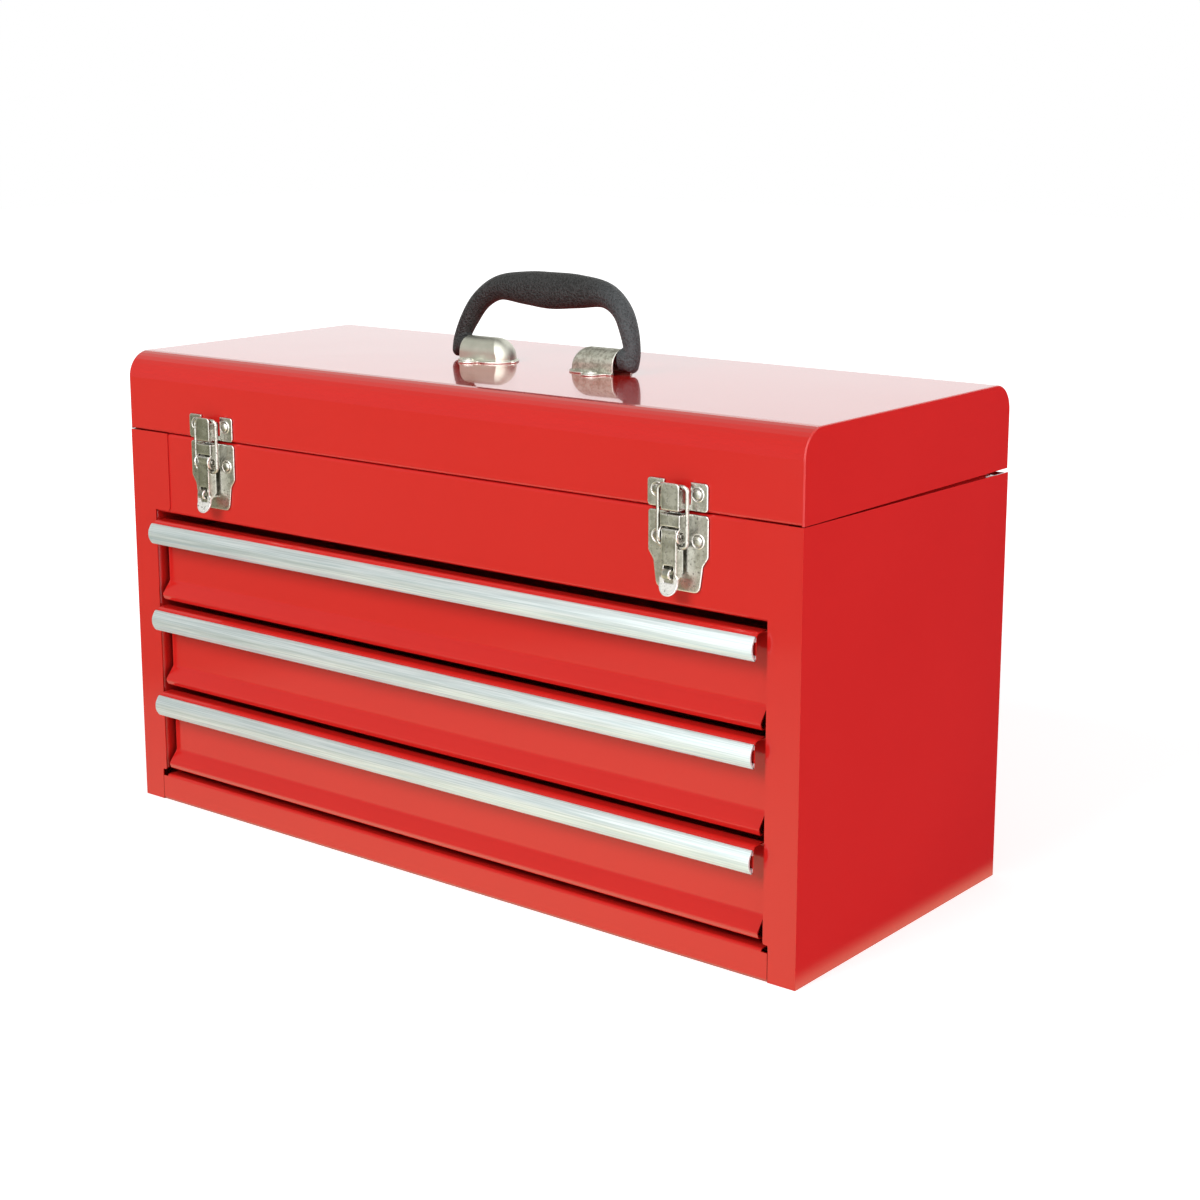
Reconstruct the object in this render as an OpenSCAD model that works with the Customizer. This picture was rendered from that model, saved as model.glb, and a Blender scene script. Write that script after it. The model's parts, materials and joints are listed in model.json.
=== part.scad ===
// Portable tool box: three drawers on ball slides, a top compartment under a
// hinged lid, two draw latches and a folding carrying handle.
// Millimetres. X runs to the right, Y to the back, Z up. The origin is the
// middle of the underside of the body.

/* [Body] */
// Width over the side panels
box_w = 520; // [460:5:600]
// Depth from the front face to the back face
box_d = 218; // [210:2:260]
// Thickness of the body, lid and drawer sheet
sheet = 0.8; // [0.6:0.1:1.2]
// Height of the upper front panel, from the drawer opening to the seam
upper_h = 54; // [50:1:80]
// Height of the bottom rail
rail_h = 18; // [14:1:30]
// Gap between the body's top edge and the lid at the front
seam_front = 1.2; // [0.8:0.1:2]
// Gap between the side panel's top edge and the lid at the back
seam_back = 2.5; // [1:0.1:3]
// Width of a front post beside the drawers
post_w = 21; // [16:1:30]
// Width of the tab at the head of a post
tab_w = 35; // [30:1:45]
// Distance that the post is cut back beside the bottom rail
post_cut = 3; // [1:0.5:6]
// Width of the folded edges at the back and the bottom
fold_w = 12; // [8:1:18]
// Inward step of the rim that stands up inside the lid
rim_step = 8; // [5:0.5:12]
// Height of the rim above the seam
rim_h = 8; // [4:0.5:14]
// Outside radius of a folded edge
fold_r = 1.6; // [1.3:0.1:3]

/* [Lid] */
// Height of the lid
lid_h = 50; // [40:1:80]
// Radius of the lid's long top edges
lid_r = 16; // [8:1:22]
// Distance that the lid's back stands in from the body's back face
lid_back_in = 0.6; // [0.2:0.1:1.5]
// Width of the fold under the lid's long edges
lid_fold = 5.5; // [3:0.5:6.5]
// Depth of the lid's end caps over the edge radius
cap_round = 1.2; // [0.6:0.1:2]
// Width of the flange that the end caps carry inside the lid
cap_flange = 9; // [5:0.5:14]

/* [Lid hinge] */
// Outer radius of the hinge knuckles
knuckle_r = 2.5; // [2.2:0.1:3.5]
// Radius of the hinge pin
hinge_pin_r = 1.2; // [0.8:0.1:1.5]
// Length of one knuckle
knuckle_l = 24; // [15:1:40]
// Gap between two knuckles
knuckle_gap = 0.5; // [0.3:0.1:1]
// Number of knuckles
knuckles = 20; // [8:2:24]
// Height of a hinge leaf
leaf_h = 16; // [10:1:25]
// Thickness of a hinge leaf
leaf_t = 1.2; // [0.8:0.1:1.5]

/* [Drawers] */
// Height of a drawer front
drawer_h = 55.4; // [46:0.2:80]
// Gap above a drawer front
drawer_gap = 2.6; // [2:0.2:6]
// Gap under the lowest drawer front
foot_gap = 4; // [3:0.5:6]
// Gap between a drawer front and a post
front_side_gap = 3.5; // [2:0.5:6]
// Depth that the flat of a drawer front stands behind the posts
front_recess = 6.5; // [4:0.5:10]
// Reach of the flare along a drawer front's foot
flare_reach = 6.2; // [3:0.2:9]
// Height of the flare along a drawer front's foot
flare_h = 12; // [8:0.5:18]
// Reach of a drawer front's top lip, in front of the posts
lip_reach = 5.4; // [3:0.2:9]
// Height of the lip that carries the pull
lip_h = 13.4; // [8:0.2:20]
// Drop from the head of a drawer front to its lip
lip_drop = 1.2; // [0.5:0.1:3]
// Height of a drawer's side walls
tray_h = 43; // [30:1:46]
// Height of a drawer's floor above the foot of its front
tray_lift = 3; // [1:0.5:6]
// Gap between a drawer's back wall and the back panel
tray_back_gap = 9; // [4:1:30]

/* [Drawer pulls] */
// Height of an aluminium pull
pull_h = 13.3; // [10:0.1:18]
// Thickness of an aluminium pull, from the lip to its crown
pull_t = 4.6; // [3:0.1:7]
// Wall of the pull's section
pull_wall = 1.2; // [0.8:0.1:1.3]
// Height of the hooks that fold in behind the crown
pull_hook = 2.6; // [1.6:0.1:4]

/* [Ball slides] */
// Height of a slide
slide_h = 27; // [22:1:34]
// Thickness of a slide, from the carrier to the drawer
slide_t = 10; // [9:0.5:14]
// Wall of the slide members
slide_wall = 1.2; // [1:0.1:1.5]
// Length of a slide
slide_l = 196; // [150:2:200]
// Travel of a drawer
drawer_travel = 146; // [60:2:150]
// Radius of the slide balls
ball_r = 1.9; // [1.2:0.1:2.1]
// Play between a ball and its tracks
ball_play = 0.3; // [0.2:0.05:0.5]
// Thickness of the ball cage
cage_t = 0.6; // [0.4:0.1:0.8]
// Number of balls in one row
balls = 4; // [2:1:5]
// Height of a slide's middle above the foot of its drawer front
slide_mid = 24; // [20:1:30]

/* [Handle] */
// Distance from the middle to the centre line of a leg's foot
leg_x = 67.5; // [60:0.5:85]
// Radius of a leg at its foot
leg_r = 5.5; // [5.2:0.1:7]
// Height of the pivot above the lid
pivot_h = 9; // [8:0.2:12]
// Height of the grip's centre line above the pivot
grip_rise = 38.8; // [30:0.2:60]
// Distance from the middle to the end of the straight grip
grip_half_l = 37.6; // [25:0.2:45]
// Height of a leg's upright foot above the pivot
leg_foot = 5; // [4:0.5:10]
// Fullness of the shoulders: 2 gives an ellipse, less leans the legs inward
shoulder_power = 1.55; // [1.5:0.05:2.6]
// Half height of the grip at its middle
grip_half_h = 11.4; // [8:0.2:13]
// Half height of the grip at its shoulders
shoulder_half_h = 7.6; // [6.5:0.1:11]
// Half depth of the grip
grip_half_d = 7.4; // [6:0.2:8.5]
// Lean of the handle to the back at rest, in degrees
handle_lean = 13; // [0:1:20]
// Radius of the steel rod inside the handle
rod_r = 3; // [2:0.1:3.5]

/* [Handle brackets] */
// Distance from the middle to a bracket's open end
bracket_x = 60.6; // [52:0.2:75]
// Length of a bracket's dome
dome_l = 35; // [28:1:42]
// Half width of the dome
dome_half_w = 9.8; // [9:0.1:14]
// Height of the dome above the lid
dome_h = 15; // [14:0.2:20]
// Plan radius of the dome's closed end
dome_end_r = 12.4; // [11:0.1:14]
// Thickness of the bracket's sheet
bracket_t = 1.2; // [0.8:0.1:1.5]
// Distance from the middle of the bracket to its rivets
lug_y = 15; // [12:0.5:20]
// Radius of the lug round a rivet
lug_r = 6; // [4.5:0.1:8]
// Radius of a bracket rivet's head
bracket_rivet_r = 3.8; // [2.5:0.1:4.4]

/* [Latches] */
// Distance from the side of the box to a latch's centre line
latch_in = 78.2; // [68.2:0.5:120]
// Width of the latch plates
plate_w = 39.4; // [38:0.2:48]
// Thickness of the latch plates
plate_t = 1.2; // [0.8:0.1:1.5]
// Height of the strike plate on the lid
strike_h = 15.2; // [14:0.2:20]
// Height of the base plate on the body
base_h = 42.4; // [40:0.2:50]
// Half width of the strike's hook
hook_half_w = 5.8; // [4:0.1:6]
// Reach of the hook, the bridge and the lever's front above the panel
hook_reach = 8; // [7.6:0.1:10]
// Half width of the bridge over the base plate
bridge_half_w = 6.5; // [6.2:0.1:7.2]
// Height of the lever's pivot below the seam
pivot_drop = 13; // [12:0.1:15]
// Reach of the lever's pivot above the panel
pivot_reach = 6.2; // [6:0.1:7]
// Radius of the lever's pivot pin
latch_pin_r = 1.5; // [1:0.1:1.8]
// Radius of the ears that hold the pivot pin
ear_r = 4.2; // [3.4:0.1:4.4]
// Half width of the lever
lever_half_w = 5; // [4:0.1:5]
// Reach of the lever's front above the panel
lever_reach = 8.8; // [8.2:0.1:10]
// Length of the lever below its pivot, down to the tab's end
lever_l = 32.5; // [30:0.5:36]
// Half width of the lever's finger tab
tab_half_w = 6; // [5:0.1:7]
// Half width of the slot in the lever
slot_half_w = 3.1; // [2.9:0.1:3.4]
// Half width of the padlock staple
staple_half_w = 2.5; // [1.5:0.1:2.6]
// Reach of the padlock staple above the panel
staple_reach = 12; // [11:0.1:14]
// Outer half height of the padlock staple
staple_half_h = 3; // [2:0.1:3.4]
// Radius of the bail's wire
wire_r = 1.1; // [0.8:0.1:1.2]
// Distance from a bail arm to the latch's centre line
arm_x = 9.5; // [8.8:0.1:10]
// Height of the bail between its pivot and its crossbar
bail_h = 32.5; // [31:0.1:33]
// Reach of the bail above the panel
bail_reach = 5.3; // [5:0.1:5.4]
// Depth of the bail's pivot below the lever's
bail_drop = 6.2; // [5.8:0.1:6.6]
// Distance from a latch rivet to the latch's centre line
latch_rivet_x = 13.2; // [12:0.1:15]
// Radius of a latch rivet's head
latch_rivet_r = 4.3; // [3:0.1:4.6]
// Play of a pin or wire in its hole
pin_play = 0.1; // [0.05:0.01:0.1]

/* [Hidden] */
$fn = 48;
red = "crimson";
nickel = "silver";
zinc = "lightsteelblue";

half_w = box_w / 2;
front_y = -box_d / 2;
back_y = box_d / 2;
inner_x = half_w - sheet;              // inside of the side panels
panel_y = front_y + sheet;             // face of the upper front panel
back_panel_y = back_y - sheet;         // outer face of the back panel
post_x = half_w - post_w;              // inner edge of a post
drawer_pitch = drawer_h + drawer_gap;
opening_top = rail_h + foot_gap + 3 * drawer_pitch;
seam_z = opening_top + upper_h;
top_z = seam_z + lid_h;
front_top = seam_z - seam_front;       // top of the upper front panel
side_back_top = seam_z - seam_back;    // top of a side panel at the back
rim_top = seam_z + rim_h;
lid_back = back_y - lid_back_in;
eps = 0.01;                            // overlap of a cutter with a face
past = 20;                             // reach of a cutter past a small part

function foot_z(level) = rail_h + foot_gap + level * drawer_pitch;

// ---- Outlines ------------------------------------------------------------

function unit(v) = v / norm(v);
function left_of(v) = [-v[1], v[0]];
function turn(a, b) = atan2(a[0] * b[1] - a[1] * b[0], a * b);
function spin(v, a) = [v[0] * cos(a) - v[1] * sin(a), v[0] * sin(a) + v[1] * cos(a)];
function reversed(list) = [for (i = [len(list) - 1:-1:0]) list[i]];

// Arc of radius r that rounds the corner b between a and c
function corner(a, b, c, r, steps) =
    let (u = unit(b - a), t = turn(u, unit(c - b)), s = sign(t))
    abs(t) < 0.5 || r == 0 ? [b] :
    let (start = b - u * r * tan(abs(t) / 2), arm = -s * r * left_of(u))
    [for (i = [0:steps]) start - arm + spin(arm, t * i / steps)];

// Open path with its inner corners rounded; r is one radius or one per corner
function rounded(path, r, steps = 4) = [
    path[0],
    for (i = [1:len(path) - 2])
        each corner(path[i - 1], path[i], path[i + 1], is_list(r) ? r[i - 1] : r, steps),
    path[len(path) - 1]
];

// Closed outline with its corners rounded; r is one radius or one per corner
function rounded_loop(loop, r, steps = 4) =
    let (n = len(loop))
    [for (i = [0:n - 1])
        each corner(loop[(i + n - 1) % n], loop[i], loop[(i + 1) % n],
                    is_list(r) ? r[i] : r, steps)];

function beside(path, d) = [for (i = [0:len(path) - 1])
    let (a = left_of(unit(path[max(i, 1)] - path[max(i, 1) - 1])),
         k = min(i, len(path) - 2),
         b = left_of(unit(path[k + 1] - path[k])))
    path[i] + d * (a + b) / (1 + a * b)];

// Outline of a strip of thickness t along the middle of a bent path
function strip(path, t) = concat(beside(path, t / 2), reversed(beside(path, -t / 2)));

// ---- Placing -------------------------------------------------------------

// Sweeps a (Y, Z) outline along X
module along_x(x0, x1) {
    translate([x0, 0, 0]) rotate([90, 0, 90]) linear_extrude(x1 - x0) children();
}

// Sweeps an (X, Z) outline along Y
module along_y(y0, y1) {
    translate([0, y1, 0]) rotate([90, 0, 0]) linear_extrude(y1 - y0) children();
}

// Sweeps an (X, Y) outline along Z
module along_z(z0, z1) {
    translate([0, 0, z0]) linear_extrude(z1 - z0) children();
}

// Mirrors what is drawn on the right to the left for side = -1
module to_side(side) {
    mirror([side < 0 ? 1 : 0, 0, 0]) children();
}

module block(low, high) {
    translate(low) cube(high - low);
}

module rod_x(x0, x1, r, y, z) {
    translate([x0, y, z]) rotate([0, 90, 0]) cylinder(h = x1 - x0, r = r);
}

// ---- Body ----------------------------------------------------------------

tab_foot = opening_top + 2.6;          // lower edge of the tab on a post
tab_r = 3;                             // rounded corner of the tab
rim_x = inner_x - rim_step;            // outer face of the rim at the ends
rim_y = -panel_y - rim_step;           // outer face of the rim at front and back
ledge_z = side_back_top - sheet;       // top of the step under the end rims

// Front fold of a side panel: post, tab at its head, cut back at the rail
module post_outline() {
    tab_x = half_w - tab_w;
    rail_gap = 0.4;
    polygon(rounded_loop([
        [post_x + post_cut + rail_gap, 0], [half_w, 0], [half_w, front_top],
        [tab_x, front_top], [tab_x, tab_foot], [post_x, tab_foot],
        [post_x, rail_h + foot_gap - 1],
        [post_x + post_cut + rail_gap, rail_h + foot_gap - 1]
    ], [0, 0, 0, 0, tab_r, 0, 1, 1]));
}

module side_panel() {
    rim_y_end = rim_y - 2 * sheet;
    rim_mid = sheet / 2;
    union() {
        along_x(inner_x, half_w)
            polygon([[front_y, 0], [back_y, 0], [back_y, side_back_top], [front_y, front_top]]);
        along_y(front_y, panel_y) post_outline();
        block([half_w - fold_w, back_panel_y, 0], [half_w, back_y, side_back_top - 1]);
        block([half_w - fold_w, panel_y, sheet], [half_w, back_panel_y - sheet, 2 * sheet]);
        along_y(-rim_y_end, rim_y_end) polygon(strip(rounded([
            [inner_x + eps, ledge_z - rim_mid], [rim_x - rim_mid, ledge_z - rim_mid],
            [rim_x - rim_mid, rim_top]
        ], fold_r), sheet));
    }
}

// Sheet bent along X with the rim at its head; s = -1 for the front, 1 for the back
module rimmed_wall(s, face_y, tail) {
    mid = sheet / 2;
    rim_mid = s * (rim_y - mid);
    wall_mid = face_y - s * mid;
    head = front_top - mid;
    top = [[rim_mid, rim_top], [rim_mid, head], [wall_mid, head]];
    along_x(-rim_x + 2 * sheet, rim_x - 2 * sheet)
        polygon(strip(rounded(concat(top, tail), fold_r), sheet));
}

module upper_front_panel() {
    mid = sheet / 2;
    wall_mid = panel_y + mid;
    foot = opening_top + mid + 1;
    tail = [[wall_mid, foot], [wall_mid + fold_w, foot]];
    color(red) union() {
        rimmed_wall(-1, panel_y, tail);
        // the plain ends reach behind the post tabs
        for (s = [-1, 1]) to_side(s)
            block([rim_x - 2 * sheet - eps, panel_y, foot + fold_r],
                  [inner_x, panel_y + sheet, front_top - fold_r]);
    }
}

module back_panel() {
    mid = sheet / 2;
    color(red) union() {
        rimmed_wall(1, back_panel_y, [[back_panel_y - mid, sheet]]);
        for (s = [-1, 1]) to_side(s)
            block([rim_x - 2 * sheet - eps, back_panel_y - sheet, 2 * sheet],
                  [inner_x, back_panel_y, front_top - fold_r]);
    }
}

// Floor of the box: its front fold is the bottom rail
module bottom_pan() {
    mid = sheet / 2;
    rail_x = post_x + post_cut;
    top_fold_x = post_x - 1;
    front_mid = front_y + mid;
    color(red) union() {
        block([-inner_x, panel_y, 0], [inner_x, back_panel_y, sheet]);
        along_x(-rail_x, rail_x) polygon(strip(rounded([
            [panel_y + 2, mid], [front_mid, mid], [front_mid, rail_h - fold_r]
        ], fold_r), sheet));
        along_x(-top_fold_x, top_fold_x) polygon(strip(rounded([
            [front_mid, rail_h - 2 * fold_r], [front_mid, rail_h - mid],
            [front_mid + fold_w, rail_h - mid]
        ], fold_r), sheet));
        block([-inner_x + fold_w, back_panel_y - 2 * sheet, sheet],
              [inner_x - fold_w, back_panel_y - sheet, fold_w]);
    }
}

// Floor of the top compartment, a shallow tray that rests on the front panel's fold
module compartment_floor() {
    low = opening_top + 1 + sheet;
    edge_h = 10;
    edge_x = inner_x - 0.2;
    edge_y = -panel_y - sheet - fold_r;    // clear of the bend in the front panel's foot
    color(red) difference() {
        block([-edge_x, -edge_y, low], [edge_x, edge_y, low + edge_h]);
        block([-edge_x + sheet, -edge_y + sheet, low + sheet],
              [edge_x - sheet, edge_y - sheet, low + edge_h + 1]);
    }
}

// Upright that lines the drawer bay and carries the slides
module slide_carrier() {
    mid = sheet / 2;
    y0 = panel_y + mid;
    y1 = back_panel_y - sheet - mid - 0.2;
    along_z(rail_h + foot_gap, opening_top + 1) polygon(strip(rounded([
        [inner_x - mid, y0 + fold_w], [inner_x - mid, y0], [post_x + mid, y0],
        [post_x + mid, y1], [inner_x - mid, y1], [inner_x - mid, y1 - fold_w]
    ], fold_r), sheet));
}

// ---- Ball slides ---------------------------------------------------------
// Sections are drawn in (X, Z) for the right-hand side, middle at z = 0.

slide_x = post_x;                      // face of the carrier
tray_x = slide_x - slide_t;            // outside of a drawer's side wall
slide_y0 = front_y + 12;
slide_half = slide_h / 2;
track_outer = slide_half - slide_wall;
ball_z = track_outer - ball_play - ball_r;
track_inner = ball_z - ball_r - ball_play;
member_tip = slide_x - slide_wall - 2 * ball_play - cage_t - 0.6;

module cabinet_slide_section() {
    tip = tray_x + 1;
    difference() {
        translate([tip, -slide_half]) square([slide_x - tip, slide_h]);
        translate([tip - 1, -track_outer])
            square([slide_x - slide_wall - tip + 1, 2 * track_outer]);
    }
}

module drawer_slide_section() {
    difference() {
        translate([tray_x, -track_inner]) square([member_tip - tray_x, 2 * track_inner]);
        translate([tray_x + slide_wall, -track_inner + slide_wall])
            square([member_tip - tray_x, 2 * (track_inner - slide_wall)]);
    }
}

module cage_section() {
    back = slide_x - slide_wall - ball_play - cage_t;
    arm = tray_x + 2;
    half = ball_z + cage_t / 2;
    difference() {
        translate([arm, -half]) square([back + cage_t - arm, 2 * half]);
        translate([arm - 1, -half + cage_t])
            square([back - arm + 1, 2 * (half - cage_t)]);
    }
}

module cabinet_slides() {
    for (level = [0:2]) translate([0, 0, foot_z(level) + slide_mid])
        along_y(slide_y0, slide_y0 + slide_l) cabinet_slide_section();
}

module drawer_slides(level) {
    color(zinc) for (s = [-1, 1]) to_side(s) translate([0, 0, foot_z(level) + slide_mid])
        along_y(slide_y0, slide_y0 + slide_l) drawer_slide_section();
}

// Ball cages: half of them always lies in each member, as they run at half speed
module drawer_cages(level) {
    cage_l = slide_l - drawer_travel;
    mid_y = slide_y0 + slide_l / 2;
    pitch = cage_l / balls;
    row_x = (tray_x + slide_wall + member_tip) / 2;
    color(nickel) for (s = [-1, 1]) to_side(s) translate([0, 0, foot_z(level) + slide_mid])
        union() {
            along_y(mid_y - cage_l / 2, mid_y + cage_l / 2) cage_section();
            for (row = [-1, 1], i = [0:balls - 1])
                translate([row_x, mid_y + (i - (balls - 1) / 2) * pitch, row * ball_z])
                    sphere(r = ball_r);
        }
}

// ---- Drawers -------------------------------------------------------------

front_x = post_x - front_side_gap;     // end of a drawer front
flat_y = front_y + front_recess;       // face of the flat of a drawer front
lip_y = front_y - lip_reach;           // face of the lip behind the pull

module drawer_tray(level) {
    wall_y = flat_y + sheet;
    low = foot_z(level) + tray_lift;
    tray_back = back_panel_y - sheet - tray_back_gap;
    color(red) difference() {
        block([-tray_x, wall_y, low], [tray_x, tray_back, low + tray_h]);
        block([-tray_x + sheet, wall_y + sheet, low + sheet],
              [tray_x - sheet, tray_back - sheet, low + tray_h + 1]);
    }
}

// Front sheet: flared foot, recessed flat, and a head bent forward into the lip
module drawer_front(level) {
    mid = sheet / 2;
    flat_mid = flat_y + mid;
    lip_mid = lip_y + mid;
    head = drawer_h - lip_drop - mid;
    path = [
        [flat_mid, mid], [flat_y - flare_reach + 1.6, mid], [flat_y - flare_reach, 4],
        [flat_mid, flare_h], [flat_mid, head], [lip_mid, head], [lip_mid, head - lip_h]
    ];
    color(red) translate([0, 0, foot_z(level)]) along_x(-front_x, front_x)
        polygon(strip(rounded(path, [1.6, 1.6, 4, 2.4, 3.2]), sheet));
}

// Aluminium extrusion: a crowned strip with a hook along each edge
module drawer_pull(level) {
    mid = pull_wall / 2;
    back = lip_y - mid;
    crown = lip_y - pull_t + mid;
    edge = crown + 0.9;
    low = drawer_h - lip_drop - lip_h - 1.6 + mid;
    high = low + pull_h - pull_wall;
    half = (low + high) / 2;
    path = [
        [back, high - pull_hook], [back, high], [edge, high], [crown, half],
        [edge, low], [back, low], [back, low + pull_hook]
    ];
    color("gainsboro") translate([0, 0, foot_z(level)]) along_x(-front_x - 0.4, front_x + 0.4)
        polygon(strip(rounded(path, [0.8, 1.4, 12, 1.4, 0.8]), pull_wall));
}

// ---- Lid -----------------------------------------------------------------

// Closed outline of the lid's outside, drawn in by the given distance
module lid_outline(inset) {
    polygon(rounded_loop([
        [front_y + inset, seam_z], [lid_back - inset, seam_z],
        [lid_back - inset, top_z - inset], [front_y + inset, top_z - inset]
    ], [0, 0, lid_r - inset, lid_r - inset], 10));
}

module lid_shell() {
    mid = sheet / 2;
    wrap_x = half_w - cap_round;
    low = seam_z + mid;
    color(red) along_x(-wrap_x, wrap_x) polygon(strip(rounded([
        [front_y + lid_fold, low], [front_y + mid, low], [front_y + mid, top_z - mid],
        [lid_back - mid, top_z - mid], [lid_back - mid, low], [lid_back - lid_fold, low]
    ], [fold_r, lid_r - mid, lid_r - mid, fold_r], 8), sheet));
}

// End cap: a plate with softened edges and a flange inside the lid
module lid_end() {
    face = half_w - cap_round;
    lift = sheet + fold_r;                 // clear of the bend in the lid's fold
    flange_gap = 0.1;                      // between the flange and the shell
    union() {
        hull() {
            along_x(face, face + cap_round / 3) lid_outline(0);
            along_x(half_w - cap_round / 3, half_w - cap_round / 6) lid_outline(cap_round / 4);
            along_x(half_w - cap_round / 6, half_w) lid_outline(cap_round / 2);
        }
        difference() {
            along_x(face - cap_flange, face + eps) lid_outline(sheet + flange_gap);
            along_x(face - cap_flange - 1, face + 1) lid_outline(2 * sheet + flange_gap);
            block([0, front_y, seam_z - 1], [half_w + 1, back_y, seam_z + lift]);
        }
        block([rim_x + 0.6, front_y + lid_fold + 0.2, seam_z],
              [face + eps, lid_back - lid_fold - 0.2, seam_z + sheet]);
    }
}

// ---- Lid hinge -----------------------------------------------------------

hinge_y = back_panel_y + leaf_t + knuckle_r;
hinge_z = seam_z - 0.7;
hinge_l = knuckles * knuckle_l;

module knuckle_row(first) {
    for (i = [first:2:knuckles - 1])
        rod_x(-hinge_l / 2 + i * knuckle_l + knuckle_gap / 2,
              -hinge_l / 2 + (i + 1) * knuckle_l - knuckle_gap / 2,
              knuckle_r, hinge_y, hinge_z);
}

// Leaf on the wall at wall_y: s = -1 hangs down from the knuckles, 1 stands up
module hinge_leaf(first, s, wall_y) {
    clear = knuckle_r + 0.4;
    near = hinge_z + s * clear;
    far = near + s * leaf_h;
    web = [
        [wall_y, near + s * 1.5], [wall_y + leaf_t, near + s * 1.5],
        [hinge_y - knuckle_r + leaf_t, hinge_z + s * 1],
        [hinge_y - knuckle_r + 0.1, hinge_z]
    ];
    difference() {
        union() {
            block([-hinge_l / 2, wall_y, min(near, far)],
                  [hinge_l / 2, wall_y + leaf_t, max(near, far)]);
            for (i = [first:2:knuckles - 1])
                along_x(-hinge_l / 2 + i * knuckle_l + knuckle_gap / 2,
                        -hinge_l / 2 + (i + 1) * knuckle_l - knuckle_gap / 2)
                    polygon(web);
            knuckle_row(first);
        }
        rod_x(-hinge_l / 2 - 1, hinge_l / 2 + 1, hinge_pin_r + pin_play / 2, hinge_y, hinge_z);
    }
}

module hinge_pin() {
    color(zinc) rod_x(-hinge_l / 2 - 0.5, hinge_l / 2 + 0.5, hinge_pin_r, hinge_y, hinge_z);
}

// ---- Handle brackets -----------------------------------------------------

dome_mid_x = bracket_x - dome_l + dome_end_r;   // start of the rounded end
lug_x = bracket_x - 12;

// Vault with a rounded end, drawn in by the given distance, standing on the lid
module dome_volume(inset) {
    w = dome_half_w - inset;
    h = dome_h - inset;
    r = dome_end_r - inset;
    spring = h - r;
    intersection() {
        along_x(0, bracket_x + (inset > 0 ? 1 : 0)) union() {
            translate([0, h - w]) circle(r = w);
            translate([-w, -1]) square([2 * w, h - w + 1]);
        }
        union() {
            block([dome_mid_x, -w - 1, -1], [bracket_x + 2, w + 1, h + 1]);
            translate([dome_mid_x, 0, 0]) rotate_extrude() intersection() {
                union() {
                    translate([0, spring]) circle(r = r);
                    translate([0, -1]) square([r, spring + 1]);
                }
                translate([0, -1]) square([r, h + 2]);
            }
        }
    }
}

module handle_bracket() {
    rim = 1.6;                             // flange beside the dome
    tip_x = bracket_x - dome_l;
    translate([0, 0, top_z]) difference() {
        union() {
            intersection() {
                dome_volume(0);
                block([0, -lug_y, 0], [bracket_x + 1, lug_y, dome_h + 1]);
            }
            along_z(0, bracket_t) union() {
                translate([dome_mid_x, -dome_half_w - rim])
                    square([bracket_x - dome_mid_x, 2 * (dome_half_w + rim)]);
                translate([dome_mid_x, 0]) circle(r = dome_end_r + rim);
                polygon(rounded_loop([
                    [dome_mid_x, -dome_end_r + 2], [tip_x - 5, 0], [dome_mid_x, dome_end_r - 2]
                ], [0, 2, 0]));
                for (s = [-1, 1]) {
                    translate([lug_x, s * lug_y]) circle(r = lug_r);
                    polygon([
                        [lug_x - lug_r - 3, s * dome_half_w], [lug_x + lug_r + 3, s * dome_half_w],
                        [lug_x + lug_r * 0.8, s * (lug_y + 2)],
                        [lug_x - lug_r * 0.8, s * (lug_y + 2)]
                    ]);
                }
            }
        }
        dome_volume(bracket_t);
    }
}

module bracket_rivets() {
    height = 1.3;
    hole_r = 1.6;                          // dimple in a ring-headed rivet
    color(nickel) for (s = [-1, 1], t = [-1, 1])
        translate([s * lug_x, t * lug_y, top_z + bracket_t]) difference() {
            union() {
                cylinder(h = height / 2, r = bracket_rivet_r);
                cylinder(h = height, r = bracket_rivet_r * 0.75);
            }
            translate([0, 0, height / 2]) cylinder(h = height, r = hole_r);
        }
}

// ---- Handle --------------------------------------------------------------

pivot_z = top_z + pivot_h;
inner_face = bracket_x + 0.4;          // inner end of a leg's foot
slim_l = dome_half_w + 1.2;            // part of a leg that passes its bracket's mouth

// Point of the right shoulder's middle line, a quarter of a superellipse
function shoulder(a) = [
    grip_half_l + (leg_x - grip_half_l) * pow(cos(a), 2 / shoulder_power),
    leg_foot + (grip_rise - leg_foot) * pow(sin(a), 2 / shoulder_power)
];

// Middle line of the right half of the handle, from the leg's foot to the middle
function handle_line(steps) = concat(
    [[leg_x, -leg_r], [leg_x, 0]],
    [for (i = [0:steps]) shoulder(90 * i / steps)],
    [for (i = [1:3]) [grip_half_l * (1 - i / 4), grip_rise]]
);

// Half height of the section at a point of the middle line: a leg keeps the width
// of its foot beside its bracket
function half_height(p) =
    p[1] <= slim_l ? leg_r :
    p[1] < grip_rise ?
        leg_r + (shoulder_half_h - leg_r) * sin(90 * (p[1] - slim_l) / (grip_rise - slim_l)) :
    shoulder_half_h + (grip_half_h - shoulder_half_h) * cos(90 * p[0] / grip_half_l);

function half_depth(p) = leg_r + (grip_half_d - leg_r) * sin(90 * max(p[1], 0) / grip_rise);

sides = 20;
function ring(p, dir) =
    let (n = left_of(dir), h = half_height(p), d = half_depth(p))
    [for (k = [0:sides - 1])
        let (a = 360 * k / sides)
        [p[0] + n[0] * h * cos(a), d * sin(a), p[1] + n[1] * h * cos(a)]];

function mirrored_line(half) = concat(
    half, [[0, grip_rise]], [for (p = reversed(half)) [-p[0], p[1]]]);

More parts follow.
